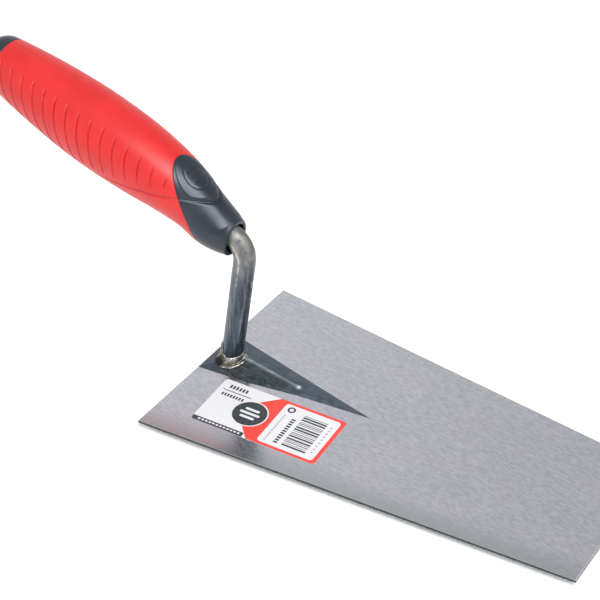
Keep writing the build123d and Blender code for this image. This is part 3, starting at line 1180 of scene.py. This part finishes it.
def ticks(count, place, size, step, ink):
    """A row of equal boxes, each a step away from the last; all pairs are (u, v)."""
    shapes = []
    for index in range(count):
        u = place[0] + step[0] * index
        v = place[1] + step[1] * index
        shapes.append((box_outline(u, v, u + size[0], v + size[1]), ink))
    return shapes


def label_print():
    """Printed shapes as (outline, ink), each over the ones before. Plain marks stand in for all wording."""
    shapes = [
        ([(28.6, 0.0), (label_length, 0.0), (label_length, label_width), (27.8, label_width), (19.6, 21.0),
          (13.0, 14.8)], red_ink),
        (box_outline(32.2, 1.5, 59.4, 28.8, 1.6), white_ink),
        (box_outline(0.0, 27.7, 25.6, label_width), dark_ink),
        (disc_outline(disc_u, 15.6, 8.4), white_ink),
        (disc_outline(disc_u, 15.6, 7.8), dark_ink),
        (box_outline(2.3, 6.5, 16.5, 6.95), dark_ink),
        (disc_outline(36.1, 4.6, 1.9), dark_ink),
        (disc_outline(36.1, 4.6, 1.0), white_ink),
    ]
    for row, half in ((13.0, 3.5), (15.6, 4.8), (18.2, 3.5)):
        shapes.append((box_outline(disc_u - half, row - 0.7, disc_u + half, row + 0.7, 0.5), white_ink))
    shapes += ticks(6, (4.2, 2.6), (1.0, 2.3), (1.6, 0.0), dark_ink)
    shapes += ticks(8, (3.2, 8.6), (0.9, 1.9), (1.45, 0.0), dark_ink)
    shapes += ticks(12, (3.0, 28.5), (1.2, 0.9), (1.8, 0.0), white_ink)
    shapes += ticks(12, (34.6, 8.4), (1.0, 1.0), (0.0, 1.6), grey_ink)
    shapes += ticks(11, (39.0, 9.4), (2.0, 1.0), (0.0, 1.6), dark_ink)
    shapes += ticks(9, (56.4, 6.0), (1.0, 1.0), (0.0, 2.2), grey_ink)
    row = 5.0
    for index in range(17):
        thickness = (0.35, 0.7, 0.35, 1.0, 0.5)[(index * index + 2 * index) % 5]
        shapes.append((box_outline(43.0, row, 54.6, row + thickness), dark_ink))
        row += thickness + (0.55, 0.85, 0.55)[(index * 2) % 3]
    return shapes


def inside_outline(points, outline):
    """Which points lie inside a closed outline."""
    x = points[:, 0]
    y = points[:, 1]
    inside = np.zeros(len(points), dtype=bool)
    for (x0, y0), (x1, y1) in zip(outline, outline[1:] + outline[:1]):
        if y0 != y1:
            crosses = (y0 > y) != (y1 > y)
            inside ^= crosses & (x < (x1 - x0) * (y - y0) / (y1 - y0) + x0)
    return inside


def print_lines(shapes, border):
    """Edges of the printed shapes, kept just inside the label's border."""
    lines = []
    for outline, _ in shapes:
        clipped = [(min(max(u, 0.02), label_length - 0.02), min(max(v, 0.02), label_width - 0.02))
                   for u, v in outline]
        lines += list(zip(clipped, clipped[1:] + clipped[:1]))
    return [line for line in lines if all(inside_outline(np.array(line), border))]


def label_face_inks(shapes, middles):
    """Ink of each triangle: that of the last shape it lies in, or white."""
    inks = np.full(len(middles), white_ink)
    for outline, ink in shapes:
        inks[inside_outline(middles, outline)] = ink
    return inks


def label_place(flat):
    """Where points of the label lie on the blade, in plan."""
    turn = radians(label_turn)
    u = flat[:, 0] - label_length / 2
    v = label_width / 2 - flat[:, 1]
    x = label_centre[0] + u * cos(turn) - v * sin(turn)
    y = label_centre[1] + u * sin(turn) + v * cos(turn)
    return x, y


def label_papers():
    """Paper in each ink, in the order of the inks."""
    return [
        printed_paper("label_white", (0.66, 0.66, 0.68), (0.70, 0.70, 0.72)),
        printed_paper("label_red", (0.69, 0.046, 0.032), (0.75, 0.058, 0.042)),
        printed_paper("label_dark", (0.022, 0.03, 0.038), (0.035, 0.045, 0.055)),
        printed_paper("label_grey", (0.35, 0.35, 0.38), (0.42, 0.42, 0.45)),
    ]


def make_label():
    """Thin label with its print cut into the top face, so each ink is a material of its own."""
    border = box_outline(0.0, 0.0, label_length, label_width, label_corner)
    shapes = label_print()
    flat, triangles, middles = triangulate(border, print_lines(shapes, border), [])
    x, y = label_place(flat)
    count = len(flat)
    top = np.column_stack([x, y, np.full(count, label_high[2])])
    bottom = np.column_stack([x, y, np.full(count, label_low[2] + 0.01)])
    rim = rim_edges(triangles)
    faces = triangles + [tuple(count + corner for corner in reversed(t)) for t in triangles]
    faces += [(a, b, count + b, count + a) for a, b in rim]
    plain = np.full(len(triangles) + len(rim), white_ink)
    inks = np.concatenate([label_face_inks(shapes, middles), plain])
    piece = make_piece("label_sheet", np.vstack([top, bottom]), faces, label_papers(), face_material=inks,
                       crease=30)
    finish_piece(piece, "label")


def rim_edges(triangles):
    """Edges that belong to one triangle only, in that triangle's direction."""
    edges = {(t[i], t[(i + 1) % 3]) for t in triangles for i in range(3)}
    return [(a, b) for a, b in edges if (b, a) not in edges]


# ---------------- studio

floor_reach = 4000.0
floor_drop = 2.8
softbox_place = (610.0, -325.0, 1110.0)
softbox_target = (0.0, 0.0, 50.0)
softbox_size = (1050.0, 560.0)
softbox_power = 15.2
camera_place = (338.447, -458.762, 464.728)
camera_target = (14.305, 35.020, 18.958)
camera_lens = 96.565
camera_sensor = 36.0


def make_floor():
    """White floor that runs out of sight in every direction, a little below the blade."""
    signs = ((-1, -1), (1, -1), (1, 1), (-1, 1))
    corners = [(x * floor_reach, y * floor_reach, -floor_drop) for x, y in signs]
    make_piece("studio_floor", corners, [(0, 1, 2, 3)], [floor_paper()])


def aim(thing, place, target):
    """Adds a camera or lamp to the scene, at a place and looking at a target, both in millimetres."""
    thing.location = Vector(place) * MM
    direction = Vector(target) * MM - thing.location
    thing.rotation_euler = direction.to_track_quat("-Z", "Y").to_euler()
    bpy.context.scene.collection.objects.link(thing)


def make_world():
    """White surroundings, brighter near the horizon than overhead, and behind the heel than ahead."""
    world = bpy.data.worlds.new("studio")
    world.use_nodes = True
    direction = add_node(world, "TexCoord").outputs["Generated"]
    height = add_node(world, "SeparateXYZ", {"Vector": direction}).outputs["Z"]
    level = spread(world, height, 0.1, 0.95, 0.88, 0.6)
    lean = spread(world, dot_product(world, direction, (-0.82, -0.57, 0.0)), -0.35, 0.1, 0.82, 1.14)
    background = world.node_tree.nodes["Background"]
    set_input(world, background.inputs["Strength"], combine(world, "MULTIPLY", level, lean))
    background.inputs["Color"].default_value = (1.0, 1.0, 1.0, 1.0)
    bpy.context.scene.world = world
    bpy.context.scene.view_settings.view_transform = "Standard"


def make_softbox():
    """One wide soft light in front of the toe's right side."""
    lamp = bpy.data.lights.new("front_light", "AREA")
    lamp.shape = "RECTANGLE"
    lamp.size, lamp.size_y = (side * MM for side in softbox_size)
    lamp.energy = softbox_power
    aim(bpy.data.objects.new("front_light", lamp), softbox_place, softbox_target)


def make_camera():
    """Camera above the toe's right side, looking down over the blade to the handle."""
    camera = bpy.data.cameras.new("camera")
    camera.sensor_width = camera_sensor
    camera.lens = camera_lens
    thing = bpy.data.objects.new("camera", camera)
    aim(thing, camera_place, camera_target)
    bpy.context.scene.camera = thing


make_camera()
make_world()
make_softbox()
make_floor()
plastic = core_plastic()
make_blade()
make_shank()
make_weld()
make_nose()
make_grip()
make_cap()
make_label()
